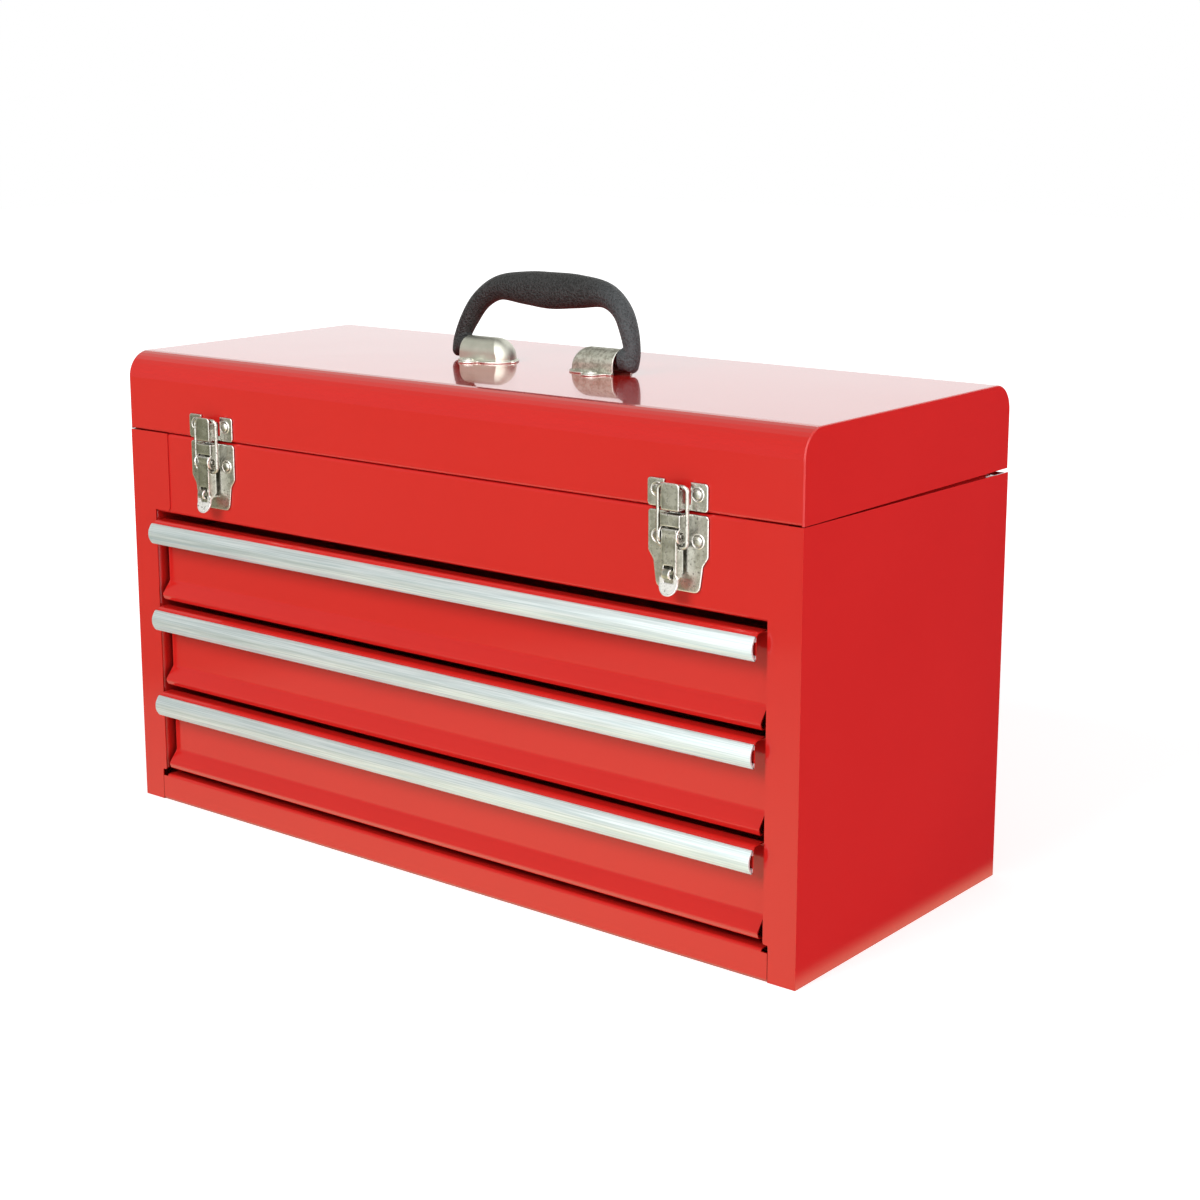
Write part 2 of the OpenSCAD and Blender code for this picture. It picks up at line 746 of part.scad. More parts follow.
module grip_body() {
    line = mirrored_line(handle_line(10));
    n = len(line);
    rings = [for (i = [0:n - 1])
        ring(line[i], unit(line[min(i + 1, n - 1)] - line[max(i - 1, 0)]))];
    points = [for (r = rings) each r];
    side_faces = [for (i = [0:n - 2], k = [0:sides - 1])
        let (a = i * sides + k, b = i * sides + (k + 1) % sides)
        each [[a, b, b + sides], [a, b + sides, a + sides]]];
    polyhedron(points, concat(
        side_faces,
        [[for (k = [sides - 1:-1:0]) k], [for (k = [0:sides - 1]) (n - 1) * sides + k]]
    ), convexity = 6);
}

module leaned() {
    translate([0, 0, pivot_z]) rotate([-handle_lean, 0, 0]) children();
}

// Moulded grip with a boss that meets each bracket
module handle_grip() {
    boss_l = leg_x - inner_face;
    color("dimgray") leaned() difference() {
        union() {
            grip_body();
            for (s = [-1, 1]) to_side(s) rod_x(inner_face, inner_face + boss_l, leg_r, 0, 0);
        }
        for (s = [-1, 1]) to_side(s) rod_x(inner_face - 1, leg_x, rod_r + pin_play / 2, 0, 0);
    }
}

// Steel ends of the rod, which turn inside the brackets
module handle_rod() {
    reach = 16;                            // length of the rod inside a bracket
    collar_r = rod_r + 1.4;
    color(zinc) leaned() for (s = [-1, 1]) to_side(s) union() {
        rod_x(bracket_x - reach, leg_x, rod_r, 0, 0);
        rod_x(bracket_x - reach, bracket_x - reach + 2, collar_r, 0, 0);
    }
}

// ---- Latches -------------------------------------------------------------
// Drawn about the latch's centre line: X across, -Y outward from the wall,
// Z from the seam. The wall is at y = 0.

base_wall = panel_y;                   // the base sits on the upper front panel
strike_wall = front_y;                 // the strike sits on the lid
wall_step = base_wall - strike_wall;

latch_x = half_w - latch_in;

module at_latch(side, wall_y) {
    translate([side * latch_x, wall_y, seam_z]) children();
}

module rivet_head(x, z, r) {
    rise = r * 0.42;
    ball = (r * r + rise * rise) / (2 * rise);
    translate([x, -plate_t, z]) rotate([90, 0, 0]) intersection() {
        translate([0, 0, rise - ball]) sphere(r = ball);
        cylinder(h = rise + 1, r = r);
    }
}

// Strike: two ears with rivets, and the hook that holds the bail's crossbar
module latch_strike() {
    low = 0.3;                             // above the lid's lower edge
    high = low + strike_h;
    web_h = 3;                             // strip that joins the ears
    window = arm_x - 0.9;
    wall_top = strike_rest - wire_r - 0.3;
    lip_in = hook_reach - plate_t;
    union() {
        along_y(-plate_t, 0) difference() {
            polygon(rounded_loop([
                [-plate_w / 2, low], [plate_w / 2, low], [plate_w / 2, high], [-plate_w / 2, high]
            ], 2));
            polygon([[-window, low + web_h], [window, low + web_h], [window, high + 1], [-window, high + 1]]);
        }
        along_y(-hook_reach, -lip_in) polygon(rounded_loop([
            [-hook_half_w, low], [hook_half_w, low],
            [hook_half_w, high - 0.5], [-hook_half_w, high - 0.5]
        ], [0, 0, 2, 2]));
        for (s = [-1, 1]) to_side(s) {
            block([hook_half_w - plate_t, -lip_in - eps, low], [hook_half_w, 0, wall_top]);
            block([hook_half_w - eps, -plate_t, low], [window + eps, 0, low + web_h]);
        }
    }
}

strike_rest = bail_h - pivot_drop - bail_drop;   // height of the crossbar over the seam

// Base: plate, bridge with the pivot's ears, and the padlock staple
module latch_base() {
    high = -1.7;                           // below the seam
    low = high - base_h;
    shoulder = low + 20;                   // where the plate starts to narrow
    neck_in = 3.4;
    foot_in = 5.6;
    bridge_low = -8.5;
    bridge_reach = hook_reach - 0.2 + wall_step;
    pivot_y = -pivot_reach - wall_step;
    union() {
        along_y(-plate_t, 0) polygon(rounded_loop([
            [plate_w / 2, high], [-plate_w / 2, high], [-plate_w / 2, shoulder],
            [-plate_w / 2 + neck_in, shoulder - 5], [-plate_w / 2 + foot_in, low],
            [plate_w / 2 - foot_in, low], [plate_w / 2 - neck_in, shoulder - 5],
            [plate_w / 2, shoulder]
        ], [2, 2, 2, 3, 4, 4, 3, 2]));
        block([-bridge_half_w, -bridge_reach, bridge_low],
              [bridge_half_w, -bridge_reach + plate_t, high]);
        difference() {
            for (s = [-1, 1]) to_side(s) {
                block([bridge_half_w - plate_t, -bridge_reach, bridge_low], [bridge_half_w, 0, high]);
                block([bridge_half_w - plate_t, pivot_y, -pivot_drop - ear_r],
                      [bridge_half_w, 0, bridge_low + eps]);
                rod_x(bridge_half_w - plate_t, bridge_half_w, ear_r, pivot_y, -pivot_drop);
            }
            rod_x(-past, past, latch_pin_r + pin_play / 2, pivot_y, -pivot_drop);
        }
        staple(wall_step);
    }
}

staple_z = -33.6;                      // middle of the padlock staple

module staple(step) {
    bar = 1.3;                             // thickness of the staple's strip
    outer_mid = -staple_reach - step + staple_half_h;
    along_x(-staple_half_w, staple_half_w) difference() {
        union() {
            translate([outer_mid, staple_z]) circle(r = staple_half_h);
            translate([outer_mid, staple_z - staple_half_h])
                square([-outer_mid, 2 * staple_half_h]);
        }
        translate([outer_mid, staple_z]) circle(r = staple_half_h - bar);
        translate([outer_mid, staple_z - staple_half_h + bar])
            square([-outer_mid - plate_t, 2 * (staple_half_h - bar)]);
    }
}

module latch_pin() {
    pivot_y = -pivot_reach - wall_step;
    end = bridge_half_w + 0.8;
    rod_x(-end, end, latch_pin_r, pivot_y, -pivot_drop);
}

// Lever: a channel round the pivot, with a slot for the staple and a finger tab
module latch_lever() {
    head_r = 4;                            // rounded head about the pivot
    wall = 1.2;
    front = -lever_reach - wall_step;
    pivot_y = -pivot_reach - wall_step;
    bail_y = -bail_reach - wall_step;
    foot = -pivot_drop - lever_l;
    cheek_end = foot + 9;
    slot_low = foot + 7;
    slot_high = slot_low + 9.2;
    bend = foot + 6.5;
    difference() {
        union() {
            intersection() {
                along_x(-lever_half_w, lever_half_w) union() {
                    translate([pivot_y, -pivot_drop]) circle(r = head_r);
                    polygon([
                        [pivot_y + head_r, -pivot_drop], [front, -pivot_drop],
                        [front, cheek_end - 1.5], [front + wall, cheek_end - 1.5],
                        [pivot_y + head_r, cheek_end + 3]
                    ]);
                }
                block([-past, front, foot], [past, 0, 0]);
            }
            intersection() {
                along_x(-tab_half_w, tab_half_w) polygon(strip(rounded([
                    [front + wall / 2, bend + 5.5], [front + wall / 2, bend], [front - 1.6, foot]
                ], 4), wall));
                along_y(front - past, 0) union() {
                    translate([0, foot + tab_half_w]) circle(r = tab_half_w);
                    polygon([
                        [-tab_half_w, foot + tab_half_w], [tab_half_w, foot + tab_half_w],
                        [tab_half_w, bend + 3.5], [lever_half_w, bend + 5],
                        [-lever_half_w, bend + 5], [-tab_half_w, bend + 3.5]
                    ]);
                }
            }
        }
        block([-lever_half_w + wall, front + wall, foot - 1], [lever_half_w - wall, past, past]);
        block([-slot_half_w, front - past, slot_low],
              [slot_half_w, front + wall + 1, slot_high]);
        rod_x(-past, past, latch_pin_r + pin_play, pivot_y, -pivot_drop);
        rod_x(-past, past, wire_r + pin_play, bail_y, -pivot_drop - bail_drop);
    }
}

// Quarter bend of wire in the (X, Z) plane about (x, z), starting at angle a
module wire_bend(x, z, r, a) {
    translate([x, 0, z]) rotate([90, 0, 0]) rotate([0, 0, a])
        rotate_extrude(angle = 90) translate([r, 0]) circle(r = wire_r);
}

module latch_bail() {
    bend = 3;                              // radius of the wire's bends
    pivot = -pivot_drop - bail_drop;
    cross = pivot + bail_h;
    inner_end = lever_half_w - 1.4;
    translate([0, -bail_reach - wall_step, 0]) union() {
        rod_x(-arm_x + bend, arm_x - bend, wire_r, 0, cross);
        for (s = [-1, 1]) to_side(s) {
            wire_bend(arm_x - bend, cross - bend, bend, 0);
            translate([arm_x, 0, pivot + bend]) cylinder(h = bail_h - 2 * bend, r = wire_r);
            wire_bend(arm_x - bend, pivot + bend, bend, -90);
            rod_x(inner_end, arm_x - bend, wire_r, 0, pivot);
        }
    }
}

// ---- Nodes ---------------------------------------------------------------

module both_sides_rivets(wall_y, z) {
    color(nickel) for (side = [-1, 1]) at_latch(side, wall_y)
        for (s = [-1, 1]) rivet_head(s * latch_rivet_x, z, latch_rivet_r);
}

strike_rivet_z = 9.4;                  // heights of the rivets from the seam
base_rivet_z = -15.8;

color(red) to_side(-1) side_panel();  // side_panel_left
color(red) side_panel();  // side_panel_right
upper_front_panel();
bottom_pan();
back_panel();
compartment_floor();
color(red) to_side(-1) slide_carrier();  // slide_carrier_left
color(red) slide_carrier();  // slide_carrier_right
color(zinc) to_side(-1) cabinet_slides();  // cabinet_slides_left
color(zinc) cabinet_slides();  // cabinet_slides_right
color(red) hinge_leaf(0, -1, back_panel_y);  // hinge_body_leaf
hinge_pin();
color(nickel) at_latch(-1, base_wall) latch_base();  // latch_base_left
color(nickel) at_latch(1, base_wall) latch_base();  // latch_base_right
both_sides_rivets(base_wall, base_rivet_z);  // latch_base_rivets
color(nickel) for (side = [-1, 1]) at_latch(side, base_wall) latch_pin();  // latch_pivot_pins
lid_shell();
color(red) to_side(-1) lid_end();  // lid_end_left
color(red) lid_end();  // lid_end_right
color(red) hinge_leaf(1, 1, lid_back);  // hinge_lid_leaf
color(nickel) to_side(-1) handle_bracket();  // handle_bracket_left
color(nickel) handle_bracket();  // handle_bracket_right
bracket_rivets();
color(nickel) at_latch(-1, strike_wall) latch_strike();  // latch_strike_left
color(nickel) at_latch(1, strike_wall) latch_strike();  // latch_strike_right
both_sides_rivets(strike_wall, strike_rivet_z);  // strike_rivets
handle_grip();
handle_rod();
drawer_tray(0);  // drawer_bottom_tray
drawer_front(0);  // drawer_bottom_front
drawer_pull(0);  // drawer_bottom_pull
drawer_slides(0);  // drawer_bottom_slides
drawer_cages(0);  // drawer_bottom_cages
drawer_tray(1);  // drawer_middle_tray
drawer_front(1);  // drawer_middle_front
drawer_pull(1);  // drawer_middle_pull
drawer_slides(1);  // drawer_middle_slides
drawer_cages(1);  // drawer_middle_cages
drawer_tray(2);  // drawer_top_tray
drawer_front(2);  // drawer_top_front
drawer_pull(2);  // drawer_top_pull
drawer_slides(2);  // drawer_top_slides
drawer_cages(2);  // drawer_top_cages
color(nickel) at_latch(-1, base_wall) latch_lever();  // latch_lever_left
color(nickel) at_latch(1, base_wall) latch_lever();  // latch_lever_right
color(nickel) at_latch(-1, base_wall) latch_bail();  // latch_bail_left
color(nickel) at_latch(1, base_wall) latch_bail();  // latch_bail_right
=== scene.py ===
import json
import math

import bmesh
import bpy
from mathutils import Matrix, Vector

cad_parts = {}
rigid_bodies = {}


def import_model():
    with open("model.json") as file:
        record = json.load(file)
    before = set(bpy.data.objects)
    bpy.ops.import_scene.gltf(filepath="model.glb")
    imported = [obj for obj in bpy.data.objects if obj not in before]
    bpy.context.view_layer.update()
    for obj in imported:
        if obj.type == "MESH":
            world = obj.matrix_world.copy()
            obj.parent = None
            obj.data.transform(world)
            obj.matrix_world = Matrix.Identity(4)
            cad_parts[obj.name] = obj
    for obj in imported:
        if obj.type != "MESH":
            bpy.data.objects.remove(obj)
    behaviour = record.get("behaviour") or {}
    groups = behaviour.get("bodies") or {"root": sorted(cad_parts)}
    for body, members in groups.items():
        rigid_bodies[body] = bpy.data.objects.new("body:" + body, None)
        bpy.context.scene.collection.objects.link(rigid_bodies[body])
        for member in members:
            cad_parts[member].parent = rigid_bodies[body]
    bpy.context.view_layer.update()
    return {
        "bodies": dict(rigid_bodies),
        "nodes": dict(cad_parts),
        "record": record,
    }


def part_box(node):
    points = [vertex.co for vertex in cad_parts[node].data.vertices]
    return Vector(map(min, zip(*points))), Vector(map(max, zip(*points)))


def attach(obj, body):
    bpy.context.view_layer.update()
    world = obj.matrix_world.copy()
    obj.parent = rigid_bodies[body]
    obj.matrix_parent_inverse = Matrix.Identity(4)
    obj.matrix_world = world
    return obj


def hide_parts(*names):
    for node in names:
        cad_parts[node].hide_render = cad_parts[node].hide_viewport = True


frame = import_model()

MM = 0.001

# ---- Camera ------------------------------------------------------------------

CAMERA_PLACE = Vector((838.05, -1013.12, 471.31)) * MM
CAMERA_AZIMUTH = math.radians(39.179)
CAMERA_PITCH = math.radians(11.504)
CAMERA_ROLL = math.radians(-0.211)
CAMERA_LENS = 64.72
CAMERA_SHIFT = (1 / 30, -1 / 15)
SENSOR_WIDTH = 36


def add_camera():
    """The photograph's camera: its place, turn and lens come from the box's corners."""
    data = bpy.data.cameras.new("camera")
    data.sensor_width = SENSOR_WIDTH
    data.lens = CAMERA_LENS
    data.shift_x, data.shift_y = CAMERA_SHIFT
    data.clip_start = 0.01
    camera = bpy.data.objects.new("camera", data)
    bpy.context.scene.collection.objects.link(camera)
    turn = (Matrix.Rotation(CAMERA_AZIMUTH, 4, "Z")
            @ Matrix.Rotation(math.pi / 2 - CAMERA_PITCH, 4, "X")
            @ Matrix.Rotation(CAMERA_ROLL, 4, "Z"))
    camera.matrix_world = Matrix.Translation(CAMERA_PLACE) @ turn
    bpy.context.scene.camera = camera


# ---- Shader maths ------------------------------------------------------------

class Wire:
    """A socket that can be used like a number in Python expressions."""

    def __init__(self, finish, socket):
        self.finish = finish
        self.socket = socket

    def _math(self, operation, first, second):
        return self.finish.node("ShaderNodeMath", {"operation": operation}, {0: first, 1: second})

    def __add__(self, other):
        return self._math("ADD", self, other)

    def __sub__(self, other):
        return self._math("SUBTRACT", self, other)

    def __rsub__(self, other):
        return self._math("SUBTRACT", other, self)

    def __mul__(self, other):
        return self._math("MULTIPLY", self, other)

    __radd__ = __add__
    __rmul__ = __mul__


class Finish:
    """A node material under construction."""

    def __init__(self, name=None, tree=None):
        if tree is None:
            self.material = bpy.data.materials.new(name)
            self.material.use_nodes = True
            tree = self.material.node_tree
        self.tree = tree
        self.tree.nodes.clear()

    def node(self, kind, settings=None, sockets=None, out=0):
        """Adds a node: its settings first, then the values or links of its sockets."""
        made = self.tree.nodes.new(kind)
        for key, value in (settings or {}).items():
            setattr(made, key, value)
        for key, value in (sockets or {}).items():
            if isinstance(value, Wire):
                self.tree.links.new(value.socket, made.inputs[key])
            else:
                made.inputs[key].default_value = value
        return Wire(self, made.outputs[out]) if made.outputs else None

    def place(self, scale=(1, 1, 1)):
        """Object position, stretched by scale."""
        spot = self.node("ShaderNodeTexCoord", out="Object")
        return self.node("ShaderNodeMapping", sockets={"Vector": spot, "Scale": scale})

    def part(self, axis, vector=None):
        """The X, Y or Z of a vector, or else of the object position."""
        vector = vector or self.place()
        return self.node("ShaderNodeSeparateXYZ", sockets={"Vector": vector}, out=axis)

    def noise(self, size, detail=3, rough=0.5, scale=(1, 1, 1)):
        """Noise whose features are about size metres across."""
        return self.node("ShaderNodeTexNoise", sockets={
            "Vector": self.place(scale), "Scale": 1 / size, "Detail": detail,
            "Roughness": rough})

    def step(self, value, low, high):
        """0 at low and 1 at high, smooth between and level beyond."""
        return self.node("ShaderNodeMapRange", {"interpolation_type": "SMOOTHSTEP"}, {
            "Value": value, "From Min": low, "From Max": high})

    def mix(self, amount, first, second):
        """Colour mix of first and second."""
        return self.node("ShaderNodeMix", {"data_type": "RGBA"}, {
            "Factor": amount, 6: first, 7: second}, out=2)

    def bump(self, height, depth, strength=1.0, below=None):
        """A normal bent by a height map of that depth, on top of another normal."""
        sockets = {"Height": height, "Distance": depth, "Strength": strength}
        if below is not None:
            sockets["Normal"] = below
        return self.node("ShaderNodeBump", sockets=sockets)

    def shelter(self, reach, inside=False):
        """1 in the open, less in a corner; inside looks into the metal, so less at an edge."""
        return self.node("ShaderNodeAmbientOcclusion",
                         {"samples": 8, "inside": inside, "only_local": inside},
                         {"Distance": reach}, out="AO")

    def rays(self, kind):
        """1 for rays of a kind, such as Camera or Glossy, and 0 for the rest."""
        return self.node("ShaderNodeLightPath", out=f"Is {kind} Ray")

    def glow(self, tone):
        """A shader that gives out light of that tone."""
        return self.node("ShaderNodeEmission", sockets={"Color": tone, "Strength": 1.0})

    def close(self, **sockets):
        """Ends the material with a Principled shader that takes these sockets."""
        names = {key.replace("_", " "): value for key, value in sockets.items()}
        shader = self.node("ShaderNodeBsdfPrincipled", sockets=names)
        self.node("ShaderNodeOutputMaterial", sockets={"Surface": shader})
        return self.material


def colour(red, green, blue):
    return (red, green, blue, 1)


def grey(value):
    return colour(value, value, value)


# ---- Finishes ----------------------------------------------------------------

# Painted shade: sheltered enamel in the gaps round the drawers is darkened to black, but only
# below this height.
GAP_SHADE_BELOW = 200 * MM  # the gaps round the drawers, which fade to black, are below this


def red_enamel():
    """Gloss red enamel with a faint orange peel, painted shade in its creases and in the gaps
    round the drawers, and a soft drift in its tone.
    """
    f = Finish("red_enamel")
    drift = f.noise(120 * MM, detail=2)
    tone = f.mix(drift, colour(0.72, 0.019, 0.015), colour(0.77, 0.022, 0.017))
    # Painted shade: the red is darker in creases and next to other parts, where ambient occlusion
    # within 3 mm finds shelter.
    crease_shade = f.step(1 - f.shelter(3 * MM), 0.28, 0.75)
    gap_shade_zone = f.step(f.part("Z"), GAP_SHADE_BELOW, GAP_SHADE_BELOW - 5 * MM)
    # Painted shade: deep shelter in the drawer gaps fades the red to near black.
    gap_shade = f.step(1 - f.shelter(30 * MM), 0.78, 0.94) * gap_shade_zone
    tone = f.mix(crease_shade * 0.6, tone, colour(0.26, 0.005, 0.01))
    tone = f.mix(gap_shade, tone, colour(0.01, 0.001, 0.001))
    waves = f.bump(f.noise(60 * MM, detail=1), 0.3 * MM)
    peel = f.bump(f.noise(3.5 * MM, detail=1), 0.02 * MM, 0.3, below=waves)
    return f.close(
        Base_Color=tone, Roughness=0.16 + drift * 0.05, Specular_IOR_Level=0.25,
        Coat_Weight=1.0, Coat_IOR=1.36, Coat_Roughness=0.03, Normal=peel)


def worn_nickel(name="worn_nickel", highlight_below=None):
    """Satin nickel plate with painted shade in its corners, pitted, and polished on edges.

    Below the height given as its second argument it is painted pale and made less metallic, a
    painted highlight.
    """
    f = Finish(name)
    cloud = f.noise(5 * MM, detail=5)
    speckle = f.noise(0.7 * MM, detail=2)
    pits = f.step(f.noise(1.3 * MM), 0.6, 0.65)
    edge = f.step(1 - f.shelter(1.3 * MM, inside=True), 0.08, 0.32)
    # Painted shade: darker where ambient occlusion within 3 mm finds corners and neighbouring
    # parts.
    corner_shade = f.step(1 - f.shelter(3 * MM), 0.15, 0.55)
    tone = f.mix(f.step(cloud, 0.3, 0.7), colour(0.29, 0.29, 0.24), colour(0.57, 0.57, 0.50))
    tone = f.mix(speckle * 0.3, tone, colour(0.3, 0.3, 0.24))
    metal = 1.0
    # Painted highlight: the lever's tab is painted near white and made less metallic.
    if highlight_below is not None:
        tab_highlight = f.step(f.part("Z"), highlight_below + 2 * MM, highlight_below)
        tone = f.mix(tab_highlight, tone, colour(0.97, 0.96, 0.9))
        metal = 1 - tab_highlight * 0.6
    tone = f.mix(edge, tone, colour(0.95, 0.94, 0.9))
    tone = f.mix(pits * 0.7, tone, colour(0.1, 0.09, 0.07))
    tone = f.mix(corner_shade * 0.85, tone, colour(0.1, 0.085, 0.06))
    return f.close(
        Base_Color=tone, Metallic=metal,
        Roughness=0.27 + cloud * 0.16 + pits * 0.2 - edge * 0.1,
        Normal=f.bump(speckle - pits * 0.8, 0.05 * MM, 0.5))


def bracket_steel():
    """Drawn nickel-plated steel with polishing lines round the dome, stained on the right."""
    f = Finish("bracket_steel")
    lines = f.noise(0.5 * MM, scale=(0.1, 1, 1))
    cloud = f.noise(8 * MM, detail=4)
    on_right = f.step(f.part("X"), -20 * MM, 20 * MM)
    stains = f.step(f.noise(2.8 * MM, detail=6, rough=0.7), 0.42, 0.62) * on_right
    tone = f.mix(cloud, colour(0.55, 0.56, 0.48), colour(0.78, 0.78, 0.69))
    tone = f.mix(stains * 0.62, tone, colour(0.17, 0.15, 0.1))
    edge = f.step(1 - f.shelter(1 * MM, inside=True), 0.1, 0.4)
    tone = f.mix(edge, tone, colour(0.9, 0.89, 0.84))
    return f.close(
        Base_Color=tone, Metallic=1.0, Roughness=0.4 + lines * 0.12 + stains * 0.1,
        Normal=f.bump(lines, 0.01 * MM, 0.6))


def pull_aluminium():
    """Satin anodised aluminium with fine drawn lines along its length, and a painted cool
    reflection on its downward faces.
    """
    f = Finish("pull_aluminium")
    lines = f.noise(0.7 * MM, detail=5, scale=(0.012, 1, 1))
    fine = f.noise(0.3 * MM, detail=2, scale=(0.004, 1, 1))
    streaks = f.step(lines, 0.3, 0.7)
    tone = f.mix(streaks, colour(0.6, 0.7, 0.7), colour(0.86, 0.94, 0.94))
    # Painted reflection: faces that point down are given a cooler, bluer tone.
    underside_reflection = f.mix(streaks, colour(0.6, 0.75, 0.84), colour(0.86, 0.99, 1.0))
    facing = f.node("ShaderNodeNewGeometry", out="True Normal")
    tone = f.mix(f.step(f.part("Z", facing), 0.0, -0.5), tone, underside_reflection)
    return f.close(
        Base_Color=tone, Metallic=0.5, Roughness=0.36 + lines * 0.12,
        Normal=f.bump(lines + fine * 0.5, 0.09 * MM, 0.7))


def grip_rubber():
    """Black moulded rubber with a leathery texture and a painted bluish sheen on its right leg.
    """
    f = Finish("grip_rubber")
    cells = f.node("ShaderNodeTexVoronoi", {"feature": "F1"}, {
        "Vector": f.place(), "Scale": 1 / (1.3 * MM), "Randomness": 1.0})
    waves = f.noise(1.5 * MM, detail=4, rough=0.65)
    hide = cells * 0.55 + waves * 0.8
    tone = f.mix(f.step(hide, 0.35, 0.95), grey(0.003), colour(0.045, 0.046, 0.046))
    # Painted sheen: the right leg's raised texture is lightened to a bluish grey.
    right_leg_sheen = f.step(f.part("X"), 25 * MM, 70 * MM) * f.step(hide, 0.2, 0.8)
    tone = f.mix(right_leg_sheen, tone, colour(0.085, 0.095, 0.1))
    return f.close(
        Base_Color=tone, Roughness=0.28 + waves * 0.25, Specular_IOR_Level=0.3,
        Normal=f.bump(hide, 0.9 * MM))


def zinc_steel():
    """Bright zinc plate on the slides, hinge pin and rod."""
    f = Finish("zinc_steel")
    cloud = f.noise(10 * MM)
    tone = f.mix(cloud, colour(0.55, 0.58, 0.62), colour(0.72, 0.74, 0.76))
    return f.close(Base_Color=tone, Metallic=1.0, Roughness=0.25 + cloud * 0.15,
                   Normal=f.bump(f.noise(0.8 * MM), 0.02 * MM, 0.3))


def cage_steel():
    """Plain rolled steel of the ball cages and balls."""
    f = Finish("cage_steel")
    cloud = f.noise(4 * MM)
    tone = f.mix(cloud, grey(0.45), grey(0.66))
    return f.close(Base_Color=tone, Metallic=1.0, Roughness=0.22 + cloud * 0.18,
                   Normal=f.bump(cloud, 0.01 * MM, 0.2))


# ---- Studio ------------------------------------------------------------------

BOX_MIDDLE = (0, 0, 0.15)
# Name, place, side length in metres, watts
LAMPS = [("key", (-0.35, -2.5, 1.75), 1.3, 42.5), ("side", (2.4, 0.1, 0.6), 1.2, 22)]
FLOOR_HALF = 6.0
FLOOR_CENTRE = (0.2, -0.1, 0)  # distances on the floor are measured from here
# Cloths that the gloss sees round the box: middle direction, cosines where one begins
# and is full, tone
CLOTHS = [
    ((-0.62, -0.76, 0.05), 0.72, 0.9, colour(0.4, 0.4, 0.38)),
    ((0.65, 0.75, 0.0), 0.75, 0.95, colour(0.02, 0.02, 0.05)),
    ((0.5, -0.8, 0.35), 0.48, 0.85, grey(3.0)),
    ((-0.64, -0.4, 0.65), 0.84, 0.94, colour(0.38, 0.38, 0.34)),
    ((-0.6, 0.35, 0.7), 0.8, 0.95, colour(0.6, 0.6, 0.56)),
]


def floor_paper():
    """White sweep: white to the camera, with the box's shadow, and toned in gloss.

    In gloss it is warm and bright near the box, darker further out, almost black to
    the right of the box, and bright past its front right corner.
    """
    f = Finish("floor_paper")
    spot = f.node("ShaderNodeNewGeometry", out="Position")
    across, depth = f.part("X", spot), f.part("Y", spot)
    reach = f.node("ShaderNodeVectorMath", {"operation": "DISTANCE"},
                   {0: spot, 1: FLOOR_CENTRE}, out="Value")
    base = f.mix(f.noise(2 * MM), grey(0.8), grey(0.84))
    paper = f.node("ShaderNodeBsdfDiffuse", sockets={"Color": base})
    white = f.glow(f.mix(f.step(reach, 0.5, 1.6), grey(0.62), grey(1)))
    lit = f.node("ShaderNodeAddShader", sockets={0: paper, 1: white})

    tone = f.mix(f.step(reach, 0.1, 0.65), colour(1.25, 1.15, 0.8), colour(0.79, 0.69, 0.51))
    tone = f.mix(f.step(reach, 0.61, 0.74), tone, colour(0.3, 0.3, 0.2))
    right = f.step(across, 0.255, 0.275) * f.step(depth, -0.3, -0.12)
    tone = f.mix(right, tone, colour(0.02, 0.02, 0.05))
    past_corner = f.step(across - (depth + 0.109) * 0.64, 0.29, 0.36)
    past_corner = past_corner * f.step(0 - depth, 0.14, 0.2)
    tone = f.mix(past_corner, tone, grey(1.6))

    shown = f.node("ShaderNodeMixShader", sockets={0: f.rays("Camera"), 1: paper, 2: lit})
    shown = f.node("ShaderNodeMixShader", sockets={
        0: f.rays("Glossy"), 1: shown, 2: f.glow(tone)})
    f.node("ShaderNodeOutputMaterial", sockets={"Surface": shown})
    return f.material


def add_floor():
    """The sweep that the box stands on."""
    mesh = bpy.data.meshes.new("floor")
    corners = [(-1, -1), (1, -1), (1, 1), (-1, 1)]
    mesh.from_pydata([(x * FLOOR_HALF, y * FLOOR_HALF, 0) for x, y in corners],
                     [], [(0, 1, 2, 3)])
    mesh.materials.append(floor_paper())
    floor = bpy.data.objects.new("floor", mesh)
    bpy.context.scene.collection.objects.link(floor)


def add_room():
    """A world that is white to the camera, soft to the paint and draped to the gloss."""
    world = bpy.data.worlds.new("studio")
    bpy.context.scene.world = world
    world.use_nodes = True
    f = Finish(tree=world.node_tree)
    direction = f.node("ShaderNodeTexCoord", out="Generated")

    def towards(axis, low, high):
        along = f.node("ShaderNodeVectorMath", {"operation": "DOT_PRODUCT"},
                       {0: direction, 1: Vector(axis).normalized()}, out="Value")
        return f.step(along, low, high)

    draped = f.mix(towards((1, 0, 0), -0.78, -0.48), colour(0.75, 0.8, 0.75),
                   colour(1.2, 1.2, 1.18))
    for axis, low, high, tone in CLOTHS:
        draped = f.mix(towards(axis, low, high), draped, tone)
    backdrop = towards((-0.62, 0.76, 0.2), 0.45, 0.8) * towards((0, 0, -1), -0.32, -0.22)
    draped = f.mix(backdrop, draped, grey(1.08))
    soft = f.mix(towards((0, 0, 1), 0.1, 0.7), grey(0.5), grey(0.36))
    tone = f.mix(f.rays("Glossy"), soft, draped)
    tone = f.mix(f.rays("Camera"), tone, grey(1))
    shine = f.node("ShaderNodeBackground", sockets={"Color": tone, "Strength": 1.0})
    f.node("ShaderNodeOutputWorld", sockets={"Surface": shine})


